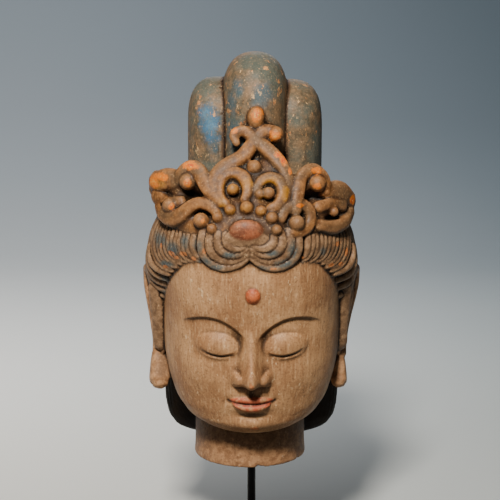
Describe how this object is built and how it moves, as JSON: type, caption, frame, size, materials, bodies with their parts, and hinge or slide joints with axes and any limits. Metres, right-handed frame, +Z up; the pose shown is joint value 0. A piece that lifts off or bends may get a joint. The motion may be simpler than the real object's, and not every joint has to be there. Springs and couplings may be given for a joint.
{
  "type": "carved wooden buddhist statue head on a stand",
  "caption": "Carved, once painted wooden head of a bodhisattva with crown and lobed topknot, held up at the neck by a slim steel rod on a square foot plate.",
  "frame": {"origin": "middle of the foot plate's underside, on the surface the stand rests on", "axes": "+Z up along the rod; the face looks along -Y; +X to the viewer's right"},
  "size_m": [0.2631, 0.2567, 0.6177],
  "materials": {
    "painted_wood": "old dry carved wood with worn mineral paint",
    "black_steel": "blackened satin steel"
  },
  "bodies": {
    "root": {"carved_head": "painted_wood", "rod": "black_steel", "foot_plate": "black_steel"}
  },
  "joints": []
}
